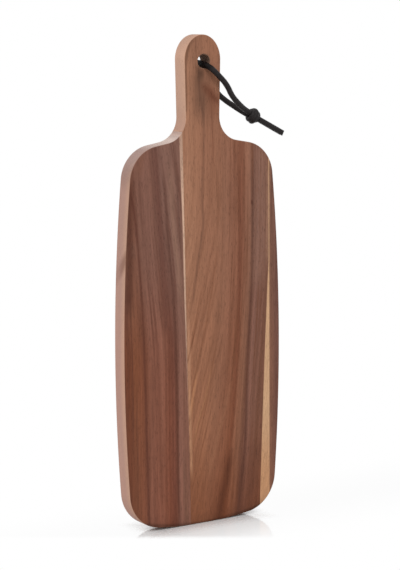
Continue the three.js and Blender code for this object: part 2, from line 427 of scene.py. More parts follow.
@dataclass(frozen=True)
class Wood:
    """Oiled hardwood with broad bands, soft streaks, veins and painted shadows, fibres and pores, paler
    sanded edges with a painted highlight, and painted shade at the foot and in the hanging hole.
    """

    name: str
    bands: tuple[Band, ...]
    streak: Colour
    sanded: Colour
    veins_and_shadows: tuple[ColourStreak, ...] = ()
    streak_share: float = 0.8
    # Painted highlight along the front of the sanded edges, towards the serving face.
    painted_arris_highlight: Colour = screen_colour(204, 164, 140)
    arris_highlight_share: Ramp = (-9.0, 1.0, 0.8, 0.0)
    sanded_share: float = 0.7
    edge: Ramp = (8.55, 8.95, 1.0, 0.0)
    ring_slope: float = 0.5
    half_thickness: float = 9.0
    depth_squeeze: float = 0.4
    broad_figure: Figure = Figure(40.0, 0.09, 3)
    cloud_figure: Figure = Figure(7.0, 0.07, 3)
    streak_figure: Figure = Figure(44.0, 0.34, 4)
    fibre_figure: Figure = Figure(20.0, 1.3, 3)
    pore_figure: Figure = Figure(14.0, 2.6, 1)
    wander: float = 4.0
    cloud_light: Ramp = (0.3, 0.7, 0.95, 1.05)
    streak_light: Ramp = (0.48, 0.72, 1.0, 1.2)
    streak_dark: Ramp = (0.28, 0.52, 1.0, 0.0)
    cloud_streaks: Ramp = (0.35, 0.65, 0.4, 1.0)
    fibre_light: Ramp = (0.3, 0.7, 0.91, 1.09)
    pore_cut: Ramp = (0.64, 0.72)
    pore_light: Ramp = (0.0, 1.0, 1.0, 0.74)
    low_half: Ramp = (0.0, 320.0, 1.0, 0.0)
    low_richness: Ramp = (-68.0, -46.0, -0.04, 0.065)
    low_light: Ramp = (0.0, 320.0, 1.05, 1.0)
    foot_sweep: float = 620.0
    # Painted shade along the lower end, where the board stands on the floor.
    foot_painted_shade: Ramp = (-4.0, 14.0, 0.78, 1.0)
    foot_rim_painted_shade: Ramp = (0.5, 3.5, 0.6, 1.0)
    # Painted shade on the wall of the hanging hole, darker at its right.
    drilled: Ramp = (7.6, 8.2, 1.0, 0.0)
    painted_hole_shade: Ramp = (2.0, 7.0, 0.2, 0.6)
    roughness: Ramp = (0.3, 0.7, 0.58, 0.46)
    edge_roughness: float = 0.12
    relief_depth: float = 0.12 * MM
    specular: float = 0.08

    def across_grain(self, place: Place) -> Signal:
        """Gives how far across the grain a point of the serving face lies, in millimetres."""
        return place.x

    def noise(self, place: Place, across: Signal, figure: Figure) -> Signal:
        """Gives noise about 0.5 that is drawn out along the grain.

        Args:
            place: The shaded point.
            across: How far across the grain it lies.
            figure: The form of the noise.

        Returns:
            The noise.
        """
        depth, along = place.y * self.depth_squeeze, place.z / figure.length
        return place.sheet.noise(place.sheet.vector(across, depth, along), figure.scale, figure.layers)

    def streaks(self, place: Place, across: Signal) -> Signal:
        """Gives soft streaks along the grain, about 0.5."""
        return self.noise(place, across, self.streak_figure)

    def figured(self, place: Place, colour: Signal) -> Signal:
        """Adds what only this piece of wood shows, and returns the colour."""
        return colour

    def with_sapwood(self, place: Place, colour: Signal) -> Signal:
        """Adds pale sapwood where the piece has some, and returns the colour."""
        return colour

    def pale_edge(self, place: Place) -> Signal:
        """Gives the colour of the sanded edges, with a painted peach highlight towards the serving face.
        """
        return place.sheet.blend(place.y.ease(*self.arris_highlight_share), self.sanded, self.painted_arris_highlight)

    def banded(self, across: Signal) -> Signal:
        """Runs through the bands' colours across the grain.

        Args:
            across: How far across the grain the shaded point lies.

        Returns:
            The band's colour there.
        """
        low, high = self.bands[0].across, self.bands[-1].across
        share = across.sheet.make("MapRange", {0: across, 1: low, 2: high})
        picked = across.sheet.make("ValToRGB", {0: share})
        stops = picked.socket.node.color_ramp.elements
        stops.remove(stops[1])
        for index, (at, *colour) in enumerate(self.bands):
            stop = stops.new((at - low) / (high - low)) if index else stops[0]
            stop.color = screen_colour(*colour)
        return picked

    def hole_shade(self, place: Place, edge: Signal) -> Signal:
        """Paints shade on the wall of the hanging hole, darker at its right, and leaves the rest as it
        is.
        """
        drilled = place.from_hole().ease(*self.drilled) * edge
        return 1.0 - drilled * place.x.ease(*self.painted_hole_shade)

    def material(self) -> Material:
        """Builds the finish.

        Returns:
            The node material.
        """
        sheet = NodeSheet(bpy.data.materials.new(self.name))
        place = sheet.millimetres()
        across = self.across_grain(place) + (place.y + self.half_thickness) * self.ring_slope
        broad, clouds, fibres, pitted = (
            self.noise(place, across, figure)
            for figure in (self.broad_figure, self.cloud_figure, self.fibre_figure, self.pore_figure)
        )
        streaks = self.streaks(place, across)
        pores = pitted.ease(*self.pore_cut)

        colour = self.figured(place, self.banded(across + (broad - 0.5) * self.wander))
        colour = colour.lit(clouds.ease(*self.cloud_light)).lit(streaks.ease(*self.streak_light))
        dark = streaks.ease(*self.streak_dark) * clouds.ease(*self.cloud_streaks)
        colour = colour.towards(dark * self.streak_share, self.streak)
        # Veins of the wood and painted shadows, laid over the colour so far.
        for mark in self.veins_and_shadows:
            colour = mark.paint(place, colour, streaks)
        richness = place.z.ease(*self.low_half) * place.x.ease(*self.low_richness) + 1.0
        colour = colour.enriched(richness).lit(place.z.ease(*self.low_light))
        colour = self.with_sapwood(place, colour)
        colour = colour.lit(fibres.ease(*self.fibre_light)).lit(pores.ease(*self.pore_light))

        # The sanded edges, with the painted light and shade that pale_edge gives them.
        edge = abs(place.y).ease(*self.edge)
        colour = colour.towards(edge * self.sanded_share, self.pale_edge(place))
        # Painted shade on the wall of the hanging hole.
        colour = colour.lit(self.hole_shade(place, edge))
        # Painted shade along the lower end, where the board meets the floor.
        low = place.z - place.x * place.x / self.foot_sweep
        colour = colour.lit(low.ease(*self.foot_painted_shade)).lit(low.ease(*self.foot_rim_painted_shade))

        roughness = streaks.ease(*self.roughness) + edge * self.edge_roughness
        relief = streaks + fibres - pores
        return sheet.surface(
            colour, roughness, relief, self.relief_depth, Specular_IOR_Level=self.specular
        )


@dataclass(frozen=True)
class LeaningWood(Wood):
    """Red-brown wood whose bands lean to the left in the upper half, with sapwood along its joint."""

    lean_start: float = 165.0
    lean_onset: float = 45.0
    lean_slope: float = 0.135
    rim_lean: Ramp = (-92.0, -50.0, 0.5, 1.0)
    joint_lean: Ramp = (-50.0, -20.0, 1.0, 0.6)
    upper: Colour = screen_colour(116, 88, 78)
    upper_share: Ramp = (150.0, 280.0, 0.0, 0.45)
    sapwood: Colour = screen_colour(206, 168, 144)
    sap_width: Ramp = (120.0, 250.0, 0.8, 2.0)
    sap_flare: Ramp = (280.0, 400.0, 0.0, 1.8)
    sap_edge: Ramp = (-0.6, 0.6, 1.0, 0.0)
    sap_start: Ramp = (70.0, 285.0)
    sap_end: Ramp = (315.0, 380.0, 1.0, 0.6)
    # Painted light and shade on the sanded edge: lighter low down, a grey sheen and shade on the
    # shoulder, a highlight and a little shade by the neck.
    side_painted_light: Ramp = (140.0, 320.0, 1.12, 0.98)
    sheen_grey: Colour = screen_colour(190, 168, 162)
    sheen_share: Ramp = (335.0, 370.0, 0.0, 0.8)
    shoulder_painted_shade: Ramp = (330.0, 354.0, 1.0, 0.67)
    painted_shoulder_highlight: Colour = screen_colour(232, 217, 207)
    shoulder_highlight_stretch: Stretch = ((370.0, 380.5), (378.5, 388.5))
    shoulder_highlight_share: float = 0.68
    neck_painted_shade: Ramp = (380.5, 388.0, 1.0, 0.9)
    patch_slope: float = 1.2
    patch_stretch: Stretch = ((246.0, 257.0), (261.0, 273.0))
    patch_share: Ramp = (-4.0, 5.0, 0.5, 0.2)

    def across_grain(self, place: Place) -> Signal:
        """Shifts the bands to the left above the middle, less so near the rim and near the joint."""
        shift = (place.z - self.lean_start).leaning(self.lean_onset, self.lean_slope)
        return place.x + shift * place.x.ease(*self.rim_lean) * place.x.ease(*self.joint_lean)

    def pale_edge(self, place: Place) -> Signal:
        """Paints light and shade on the edge: lighter low down, a grey sheen and shade on the shoulder,
        a highlight and a little shade by the neck; adds a slanting patch lower down.

        Args:
            place: The shaded point.

        Returns:
            The colour of the sanded edge.
        """
        height = place.z
        # Painted light and shade on the edge, then a slanting patch of the dark streak colour.
        pale = super().pale_edge(place).lit(height.ease(*self.side_painted_light))
        pale = pale.towards(height.ease(*self.sheen_share), self.sheen_grey)
        pale = pale.lit(height.ease(*self.shoulder_painted_shade))
        highlight = height.between(*self.shoulder_highlight_stretch) * self.shoulder_highlight_share
        pale = pale.towards(highlight, self.painted_shoulder_highlight).lit(height.ease(*self.neck_painted_shade))
        patch = (height + place.y * self.patch_slope).between(*self.patch_stretch)
        return pale.towards(patch * place.y.ease(*self.patch_share), self.streak)

    def figured(self, place: Place, colour: Signal) -> Signal:
        """Greys the upper half."""
        return colour.towards(place.z.ease(*self.upper_share), self.upper)

    def with_sapwood(self, place: Place, colour: Signal) -> Signal:
        """Adds the sapwood, which widens upwards along the left joint.

        Args:
            place: The shaded point.
            colour: The wood's colour there.

        Returns:
            The colour with the sapwood in it.
        """
        width = place.z.ease(*self.sap_width) + place.z.ease(*self.sap_flare)
        sap = (LEFT_JOINT.inside(place) - width).ease(*self.sap_edge)
        sap = sap * place.z.ease(*self.sap_start) * place.z.ease(*self.sap_end)
        return colour.towards(sap, self.sapwood)


@dataclass(frozen=True)
class FannedWood(Wood):
    """Orange-brown wood whose bands fan out from the right joint, with feathered grain at the left."""

    fan_start: float = 290.0
    fan_onset: float = 80.0
    fan_slope: float = 0.095
    feather_start: float = 335.0
    feather_onset: float = 40.0
    feather_slope: float = 0.287
    feather_figure: Figure = Figure(36.0, 0.26, 4)
    feather_depth: Ramp = (150.0, 230.0, 1.15, 0.55)
    feather_calm: Ramp = (15.0, 80.0, 0.4, 1.0)
    feather_side: Ramp = (6.0, 34.0, 1.0, 0.0)
    lower: Colour = screen_colour(104, 60, 42)
    lower_share: Ramp = (0.0, 110.0, 0.55, 0.0)
    fleck_figure: Figure = Figure(3.0, 0.5, 2)
    fleck_cut: Ramp = (0.52, 0.66)
    fleck_side: Ramp = (58.0, 63.0)
    fleck_stretch: Stretch = ((225.0, 265.0), (320.0, 350.0))
    fleck_share: float = 0.45
    sapwood: Colour = screen_colour(204, 162, 126)
    low_sapwood: Colour = screen_colour(192, 143, 106)
    low_sap: Ramp = (30.0, 110.0)
    sap_height: float = 255.0
    sap_curve: float = 0.85
    sap_width: float = 11.6
    sap_least: float = 0.9
    sap_edge: Ramp = (-0.5, 0.5, 1.0, 0.0)
    # Painted grey sheen and shade on the edge where the neck runs out into the shoulder.
    sheen_grey: Colour = screen_colour(188, 158, 148)
    sheen_share: Ramp = (388.0, 412.0, 0.4, 0.0)
    neck_painted_shade: Ramp = (390.0, 414.0, 0.72, 1.0)
    end_light: Ramp = (456.0, 472.0, 1.0, 0.85)

    def pale_edge(self, place: Place) -> Signal:
        """Paints a grey sheen where the neck runs out into the shoulder and shade on the edge below it,
        and darkens it at the handle's end.
        """
        pale = super().pale_edge(place).towards(place.z.ease(*self.sheen_share), self.sheen_grey)
        return pale.lit(place.z.ease(*self.neck_painted_shade)).lit(place.z.ease(*self.end_light))

    def across_grain(self, place: Place) -> Signal:
        """Spreads the bands to the left towards the lower end."""
        return place.x + (self.fan_start - place.z).leaning(self.fan_onset, self.fan_slope)

    def streaks(self, place: Place, across: Signal) -> Signal:
        """Gives streaks along the bands at the right, and feathered ones that lean more at the left.

        Args:
            place: The shaded point.
            across: How far across the bands it lies.

        Returns:
            The streaks, about 0.5.
        """
        lean = (self.feather_start - place.z).leaning(self.feather_onset, self.feather_slope)
        feathered = self.noise(place, place.x + lean, self.feather_figure) - 0.5
        feathered = feathered * (place.z.ease(*self.feather_depth) * place.z.ease(*self.feather_calm))
        left = place.x.ease(*self.feather_side)
        banded = super().streaks(place, across)
        return place.sheet.make("Mix", {0: left, 2: banded, 3: feathered + 0.5})

    def figured(self, place: Place, colour: Signal) -> Signal:
        """Darkens the lower end and adds flecks at the upper right.

        Args:
            place: The shaded point.
            colour: The wood's colour there.

        Returns:
            The changed colour.
        """
        colour = colour.towards(place.z.ease(*self.lower_share), self.lower)
        flecks = self.noise(place, place.x, self.fleck_figure).ease(*self.fleck_cut)
        flecks = flecks * place.x.ease(*self.fleck_side) * place.z.between(*self.fleck_stretch)
        return colour.towards(flecks * self.fleck_share, self.streak)

    def with_sapwood(self, place: Place, colour: Signal) -> Signal:
        """Adds the wedge of sapwood, which widens downwards along the right joint.

        Args:
            place: The shaded point.
            colour: The wood's colour there.

        Returns:
            The colour with the sapwood in it.
        """
        wedge = (1.0 - place.z / self.sap_height).at_least(0.0) ** self.sap_curve * self.sap_width
        beyond = RIGHT_JOINT.inside(place) - (wedge + self.sap_least)
        sap = place.sheet.blend(place.z.ease(*self.low_sap), self.low_sapwood, self.sapwood)
        return colour.towards(beyond.ease(*self.sap_edge), sap)


RED_BROWN_WOOD = LeaningWood(
    name="red_brown_wood",
    bands=(
        Band(-92, 112, 64, 43), Band(-84, 106, 59, 39), Band(-77, 121, 71, 47), Band(-71, 125, 73, 50),
        Band(-66, 117, 68, 48), Band(-61, 125, 79, 62), Band(-54, 128, 82, 66), Band(-48, 133, 87, 71),
        Band(-43, 127, 81, 65), Band(-39, 117, 72, 57), Band(-34, 114, 71, 58), Band(-31, 112, 72, 59),
        Band(-28, 130, 91, 78), Band(-22, 130, 91, 77), Band(-8, 126, 86, 71),
    ),
    streak=screen_colour(92, 54, 42),
    streak_share=0.6,
    sanded=screen_colour(184, 148, 135),
    veins_and_shadows=(
        ColourStreak((86, 47, 37), 4.5, 0.65, (
            (-80.5, 332), (-77.5, 315), (-74.5, 290), (-71.5, 255), (-70, 230), (-68.3, 180),
            (-66.8, 140), (-66, 100), (-65, 60), (-64, 8))),
        ColourStreak((86, 53, 43), 5.5, 0.7, (
            (-44.5, 345), (-42.5, 320), (-40.5, 290), (-38, 265), (-35, 238), (-33, 205),
            (-31.8, 160), (-31, 110), (-30.5, 60), (-29, 5))),
        ColourStreak((142, 107, 90), 11, 0.6, (
            (-37, 350), (-35, 318), (-32.5, 285), (-29, 258), (-27, 230))),
        ColourStreak((100, 62, 52), 11, 0.55, (
            (-53, 376), (-51.5, 340), (-50, 310), (-47.5, 275), (-45.5, 240), (-43, 200))),
        ColourStreak((98, 69, 59), 4, 0.5, ((-29.5, 350), (-28.5, 315), (-27, 285))),
        ColourStreak((124, 86, 72), 18, 0.5, ((-80, 285), (-79, 271)), 6),
        ColourStreak((80, 44, 33), 15, 0.75, ((-82, 345), (-82.5, 300), (-83, 250), (-84, 222))),
        ColourStreak((128, 84, 64), 14, 0.4, ((-68, 374), (-72, 350))),
        ColourStreak((142, 96, 79), 8, 0.35, ((-48, 200), (-48, 120), (-50, 40))),
        ColourStreak((102, 60, 47), 3.5, 0.4, ((-40, 205), (-39.5, 120), (-39, 35))),
        ColourStreak((112, 82, 68), 8, 0.4, ((-23, 70), (-22, 30), (-21, 2))),
    ),
)

ORANGE_BROWN_WOOD = FannedWood(
    name="orange_brown_wood",
    bands=(
        Band(-27, 160, 115, 90), Band(-14, 158, 112, 87), Band(-6, 152, 106, 82), Band(4, 149, 103, 80),
        Band(14, 148, 102, 79), Band(24, 143, 99, 78), Band(34, 138, 93, 73), Band(40, 134, 88, 68),
        Band(45, 125, 79, 60), Band(50, 139, 95, 75), Band(55, 130, 90, 72), Band(58.5, 114, 78, 64),
        Band(63, 125, 88, 75), Band(70, 121, 84, 70), Band(75, 118, 81, 66), Band(90, 114, 77, 61),
    ),
    streak=screen_colour(110, 68, 49),
    sanded=screen_colour(194, 158, 138),
    veins_and_shadows=(
        ColourStreak((112, 76, 60), 5.5, 0.6, (
            (1, 425), (0.5, 400), (1, 380), (0, 350), (-1, 320), (0, 298), (-3, 280),
            (-6, 262), (-10, 240), (-14, 215))),
        ColourStreak((110, 66, 50), 3, 0.55, ((10, 404), (11, 378), (11.5, 360))),
        ColourStreak((118, 75, 54), 8, 0.4, ((15.5, 345), (17.5, 320), (17, 298))),
        ColourStreak((124, 80, 58), 4, 0.5, (
            (14, 262), (10, 235), (3, 200), (-6, 165), (-15, 130))),
        ColourStreak((124, 80, 58), 3, 0.45, ((-2, 235), (-9, 205), (-15, 180))),
        ColourStreak((120, 76, 55), 4.5, 0.55, (
            (14, 175), (8, 150), (0, 120), (-9, 92), (-15, 75))),
        ColourStreak((184, 132, 98), 5, 0.6, ((-8, 150), (-13, 128), (-16, 108))),
        ColourStreak((172, 124, 94), 4, 0.5, ((8, 152), (2, 128), (-6, 104), (-13, 80))),
        ColourStreak((156, 110, 86), 7, 0.4, ((30, 132), (22, 104), (14, 78), (6, 50))),
        ColourStreak((106, 61, 45), 6, 0.55, (
            (42, 345), (42.5, 300), (42, 260), (41.5, 220), (40.5, 180), (36.5, 125), (32, 80))),
        ColourStreak((86, 54, 44), 6, 0.75, (
            (57.5, 350), (57.5, 270), (55.5, 218), (52.5, 180), (50.5, 140), (49.5, 105),
            (48, 70), (45, 45), (41, 8))),
        ColourStreak((78, 45, 33), 17, 0.8, ((31, 66), (27, 45), (21, 20), (16, -2)), 34),
        ColourStreak((84, 54, 44), 12, 0.5, ((46, 55), (42, 25), (39, 0)), 30),
        ColourStreak((96, 62, 50), 14, 0.4, ((62, 72), (58, 40), (54, 15))),
        ColourStreak((146, 109, 93), 26, 0.55, ((68, 372), (67, 300), (65, 235))),
        ColourStreak((162, 122, 99), 5, 0.75, ((75.5, 350), (75.3, 300), (75.2, 255))),
        ColourStreak((188, 142, 113), 6, 0.7, ((-15, 52), (-16.2, 100), (-17, 150), (-18, 205))),
        ColourStreak((82, 48, 38), 3.4, 0.85, ((57, 318), (57, 314)), 3),
        ColourStreak((104, 68, 50), 2.4, 0.6, ((-8.3, 478), (-8, 470), (-7.2, 462)), 8),
        # Painted shadow of the lace, a broad soft one on the handle below the hanging hole.
        ColourStreak((80, 57, 46), 34, 0.6, ((-4, 450), (-4, 432), (-1, 402)), 34),
        ColourStreak((108, 75, 60), 36, 0.4, ((-5, 486), (-8, 466), (-9, 452)), 16),
        # Painted shadow of the lace just below the hanging hole.
        ColourStreak((56, 40, 31), 13, 0.7, ((-4, 449), (-2.5, 443), (-2.5, 438)), 12),
        ColourStreak((96, 66, 52), 5, 0.5, (
            (-5, 449), (-4.5, 435), (-3, 420), (-1, 410), (0.5, 398))),
        ColourStreak((94, 64, 48), 7, 0.7, (
            (-11, 477), (-16, 467), (-19, 455), (-19.2, 440), (-19, 420), (-20, 404)), 10),
        # Painted reddish shadow of the lace's front strand on the handle, as two streaks.
        ColourStreak((104, 60, 42), 22, 0.5, ((7, 428), (11, 416), (13, 402)), 20),
        ColourStreak((96, 53, 37), 20, 0.7, ((3, 432), (8, 425), (13, 419.5), (20, 413)), 12),
    ),
)

DARK_WOOD = Wood(
    name="dark_wood",
    bands=(
        Band(76, 132, 94, 77), Band(81, 124, 87, 72), Band(86, 112, 77, 67), Band(94, 112, 80, 70),
    ),
    streak=screen_colour(90, 60, 52),
    sanded=screen_colour(168, 136, 124),
)


@dataclass(frozen=True)
class Glue:
    """Cured wood glue, amber with faint clouds, darker towards the lower end."""

    name: str = "amber_glue"
    colour: Colour = screen_colour(176, 130, 98)
    stain: Colour = screen_colour(148, 104, 76)
    lower_end_colour: Colour = screen_colour(108, 72, 58)
    cloud_scale: float = 0.15
    stained: Ramp = (0.35, 0.65)
    lower_end_fade: Ramp = (60.0, 150.0)
    roughness: Ramp = (0.3, 0.7, 0.45, 0.6)
    relief_depth: float = 0.02 * MM

    def material(self) -> Material:
        """Builds the finish.

        Returns:
            The node material.
        """
        sheet = NodeSheet(bpy.data.materials.new(self.name))
        place = sheet.millimetres()
        clouds = sheet.noise(sheet.vector(*place), self.cloud_scale, 3)
        colour = sheet.blend(clouds.ease(*self.stained), self.colour, self.stain)
        colour = sheet.blend(place.z.ease(*self.lower_end_fade), self.lower_end_colour, colour)
        return sheet.surface(colour, clouds.ease(*self.roughness), clouds, self.relief_depth)


@dataclass(frozen=True)
class Leather:
    """Black waxed leather with fine creases, greyer where it is rubbed, with painted shade and a weaker
    highlight where it passes through the hole.
    """

    name: str = "black_leather"
    colour: Colour = screen_colour(17, 10, 10)
    rubbed: Colour = screen_colour(36, 27, 27)
    patch_scale: float = 0.35
    pebble_scale: float = 2.2
    fibre_scale: float = 4.0
    patch_wear: Ramp = (0.45, 0.7)
    fibre_wear: Ramp = (0.4, 0.65)
    # Painted shade in the hanging hole: a darker colour here, and a weaker highlight through specular.
    hole_painted_shade: Ramp = (5.0, 10.0, 0.5, 1.0)
    roughness: Ramp = (0.3, 0.7, 0.62, 0.46)
    specular: Ramp = (5.0, 10.0, 0.1, 0.25)
    fibre_relief: float = 0.6
    relief_depth: float = 0.1 * MM

    def material(self) -> Material:
        """Builds the finish.

        Returns:
            The node material.
        """
        sheet = NodeSheet(bpy.data.materials.new(self.name))
        place = sheet.millimetres()
        reach, spot = place.from_hole(), sheet.vector(*place)
        patches, fibres = sheet.noise(spot, self.patch_scale, 3), sheet.noise(spot, self.fibre_scale, 3)
        wear = patches.ease(*self.patch_wear) * fibres.ease(*self.fibre_wear)
        # Painted shade where the lace passes through the hanging hole.
        colour = sheet.blend(wear, self.colour, self.rubbed).lit(reach.ease(*self.hole_painted_shade))
        pebbles = sheet.make("TexVoronoi", {"Vector": spot, "Scale": self.pebble_scale}, "Distance")
        relief = pebbles + fibres * self.fibre_relief
        return sheet.surface(
            colour, patches.ease(*self.roughness), relief, self.relief_depth,
            Specular_IOR_Level=reach.ease(*self.specular),
        )


@dataclass
class Pen:
    """Draws a chain of edges in a bmesh, on from its last point."""

    bm: BMesh
    last: BMVert
    arc_step: float = math.radians(2.5)
    arc_length: float = 9 * MM

    def line(self, end: Vector) -> None:
        """Draws a straight line.

        Args:
            end: Where the line ends.
        """
        drawn = bmesh.ops.extrude_vert_indiv(self.bm, verts=[self.last])["verts"]
        bmesh.ops.translate(self.bm, verts=drawn, vec=end - self.last.co)
        self.last = drawn[0]

    def arc(self, centre: Vector, way: Vector) -> None:
        """Draws an arc, by spinning the last point.

        Args:
            centre: The arc's centre.
            way: The direction from the centre to where the arc ends.
        """
        reach = self.last.co - centre
        turn = math.atan2(way.z, way.x) - math.atan2(reach.z, reach.x)
        turn = (turn + math.pi) % math.tau - math.pi
        run = abs(turn) * reach.length
        steps = max(2, math.ceil(abs(turn) / self.arc_step), math.ceil(run / self.arc_length))
        spun = bmesh.ops.spin(
            self.bm, geom=[self.last], cent=centre, axis=FRONT, angle=turn, steps=steps,
            use_duplicate=False,
        )
        self.last = next(item for item in spun["geom_last"] if isinstance(item, BMVert))


@dataclass
class Board:
    """The wooden board: one outline, rounded along its rims and sawn into three staves."""

    length: float = 480 * MM
    width: float = 180 * MM
    thickness: float = 18 * MM
    rim_rounding: float = 1.0 * MM
    foot_width: float = 20 * MM
    foot_sweep_radius: float = 310 * MM
    foot_corner_radius: float = 37.5 * MM
    widest_height: float = 170 * MM
    side_radius: float = 1850 * MM
    shoulder_height: float = 384.8 * MM
    shoulder_slope: float = math.radians(10)
    shoulder_corner_radius: float = 34.6 * MM
    neck_width: float = 38.6 * MM
    neck_fillet_radius: float = 24 * MM
    handle_width: float = 41 * MM
    handle_end_length: float = 24 * MM
    hole_diameter: float = 13.6 * MM
    hole_from_end: float = 25.5 * MM
    hole_offset: float = 1.5 * MM
    joint_gap: float = 0.3 * MM
    rim_segments: int = 5
    sharp_angle: float = math.radians(40)
    touching: float = 1e-7
    weld_distance: float = 1e-6
    flat_normal: float = 0.99
    hole_reach: float = 0.51

    @property
    def hole_height(self) -> float:
        """Height of the hanging hole's centre."""
        return self.length - self.hole_from_end

    @property
    def hole_centre(self) -> Vector:
        """The hanging hole's centre, a little right of the board's middle."""
        return Vector((self.hole_offset, 0, self.hole_height))

    def build(self) -> list[Object]:
        """Makes the staves and dresses the glue lines.

        Returns:
            The three stave pieces.
        """
        whole = self.whole_board()
        staves = [
            self.stave("left_board_stave", "left_stave", RED_BROWN_WOOD, whole, None, LEFT_JOINT),
            self.stave("centre_board_stave", "centre_stave", ORANGE_BROWN_WOOD, whole,
                       LEFT_JOINT, RIGHT_JOINT),
            self.stave("right_board_stave", "right_stave", DARK_WOOD, whole, RIGHT_JOINT, None),
        ]
        whole.free()
        glue = Glue().material()
        for node in ("left_glue_line", "right_glue_line"):
            frame["nodes"][node].material_slots[0].material = glue
            log.info("dressed %s", node)
        return staves

    def lower_corner(self, circles: Sequence[tuple[Vector, float]], radius: float) -> Vector:
        """Finds the centre of a round corner that touches two larger circles from inside.

        Args:
            circles: The centres and radii of both circles.
            radius: Radius of the corner.

        Returns:
            The corner's centre, on the lower of the two sides where it fits.
        """
        (first, first_radius), (second, second_radius) = circles
        first_reach, second_reach = first_radius - radius, second_radius - radius
        axis = second - first
        span = axis.length
        along = (first_reach**2 - second_reach**2 + span**2) / (2 * span)
        across = math.sqrt(first_reach**2 - along**2)
        axis.normalize()
        return first + axis * along + Vector((axis.z, 0, -axis.x)) * across

    def half_outline(self, bm: BMesh) -> None:
        """Draws the outline of the right half, with half of the hole, as one closed chain of edges.

        Args:
            bm: An empty bmesh, which gets the chain on the serving face.
        """
        face = -self.thickness / 2

        def at(x: float, z: float) -> Vector:
            """A point of the serving face."""
            return Vector((x, face, z))

        cosine, sine = math.cos(self.shoulder_slope), math.sin(self.shoulder_slope)
        run, up = Vector((cosine, 0, -sine)), Vector((sine, 0, cosine))
        foot_centre = at(self.foot_width / 2, self.foot_sweep_radius)
        side_centre = at(self.width / 2 - self.side_radius, self.widest_height)
        circles = (side_centre, self.side_radius), (foot_centre, self.foot_sweep_radius)
        foot_corner = self.lower_corner(circles, self.foot_corner_radius)
        under_shoulder = at(0, self.shoulder_height) - up * self.shoulder_corner_radius
        offset = under_shoulder - side_centre
        half = offset.dot(run)
        reach = self.side_radius - self.shoulder_corner_radius
        shoulder_corner = under_shoulder + run * (
            math.sqrt(half**2 - offset.length_squared + reach**2) - half
        )
        fillet_start = at(0, self.shoulder_height) + up * self.neck_fillet_radius
        fillet = fillet_start + run * (
            (self.neck_width / 2 + self.neck_fillet_radius - fillet_start.x) / run.x
        )
        hole_centre = at(0, self.hole_height)
        end_centre = at(0, self.length - self.handle_end_length)

        first = bm.verts.new(at(0, 0))
        pen = Pen(bm, first)
        pen.line(at(self.foot_width / 2, 0))
        pen.arc(foot_centre, foot_corner - foot_centre)
        pen.arc(foot_corner, foot_corner - side_centre)
        pen.arc(side_centre, shoulder_corner - side_centre)
        pen.arc(shoulder_corner, up)
        pen.line(fillet - up * self.neck_fillet_radius)
        pen.arc(fillet, Vector((-1, 0, 0)))
        before = set(bm.verts)
        pen.line(at(self.handle_width / 2, end_centre.z))
        pen.arc(end_centre, Vector((0, 0, 1)))
        end = [vert for vert in bm.verts if vert not in before]
        bmesh.ops.scale(
            bm, verts=end, vec=(1, 1, 2 * self.handle_end_length / self.handle_width),
            space=Matrix.Translation(-end_centre),
        )
        pen.line(hole_centre + Vector((0, 0, self.hole_diameter / 2)))
        pen.arc(hole_centre, Vector((1, 0, 0)))
        pen.arc(hole_centre, Vector((0, 0, -1)))
        bm.edges.new((pen.last, first))

    def whole_board(self) -> BMesh:
        """Makes the board before it is sawn.

        Returns:
            A closed bmesh with rounded rims.
        """
        bm = bmesh.new()
        self.half_outline(bm)
        bmesh.ops.contextual_create(bm, geom=bm.edges[:])
        pushed = bmesh.ops.extrude_face_region(bm, geom=bm.faces[:])
        back = [item for item in pushed["geom"] if isinstance(item, BMVert)]
        bmesh.ops.translate(bm, verts=back, vec=(0, self.thickness, 0))
        middle = [f for f in bm.faces if all(abs(v.co.x) < self.touching for v in f.verts)]
        bmesh.ops.delete(bm, geom=middle, context="FACES")
        half = bm.verts[:] + bm.edges[:] + bm.faces[:]
        bmesh.ops.mirror(bm, geom=half, axis="X", merge_dist=self.weld_distance)
        reach = self.hole_reach * self.hole_diameter
        drilled = [
            vert for vert in bm.verts
            if math.hypot(vert.co.x, vert.co.z - self.hole_height) < reach
        ]
        bmesh.ops.translate(bm, verts=drilled, vec=(self.hole_offset, 0, 0))
        bmesh.ops.recalc_face_normals(bm, faces=bm.faces[:])
        rims = [
            edge for edge in bm.edges
            if sum(abs(side.normal.y) > self.flat_normal for side in edge.link_faces) == 1
        ]
        bmesh.ops.bevel(
            bm, geom=rims, offset=self.rim_rounding, affect="EDGES", segments=self.rim_segments,
            profile=0.5, material=-1, clamp_overlap=False,
        )
        return bm

    def stave(
        self,
        name: str,
        node: str,
        wood: Wood,
        whole: BMesh,
        left: GlueJoint | None,
        right: GlueJoint | None,
    ) -> Object:
        """Saws one stave from the board and dresses it.

        Args:
            name: The piece's name.
            node: The CAD node that it stands for.
            wood: Its finish.
            whole: The unsawn board, which is left as it is.
            left: The joint at its left, if it has one.
            right: The joint at its right, if it has one.

        Returns:
            The stave, riding on the board.
        """
        bm = whole.copy()
        for joint, side in ((left, -1), (right, 1)):
            if joint is not None:
                outwards = joint.normal() * side
                place = Vector((joint.at_foot, 0, 0)) - outwards * self.joint_gap / 2
                bmesh.ops.bisect_plane(
                    bm, geom=bm.verts[:] + bm.edges[:] + bm.faces[:], dist=self.touching,
                    plane_co=place, plane_no=outwards, clear_outer=True,
                )
                cut = [edge for edge in bm.edges if edge.is_boundary]
                bmesh.ops.holes_fill(bm, edges=cut, sides=0)
        bmesh.ops.recalc_face_normals(bm, faces=bm.faces[:])
        for edge in bm.edges:
            edge.smooth = len(edge.link_faces) == 2 and edge.calc_face_angle() < self.sharp_angle
        for side in bm.faces:
            side.smooth = True
        piece = new_piece(name, bm, wood.material())
        piece.modifiers.new("flat_faces", "WEIGHTED_NORMAL").keep_sharp = True
        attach(piece, "board")
        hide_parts(node)
        log.info("sawed %s with %d faces", name, len(piece.data.polygons))
        return piece


class Strand(Enum):
    """The lace's two strands, by the side of the board that they pass on."""

    FRONT = -1
    BACK = 1


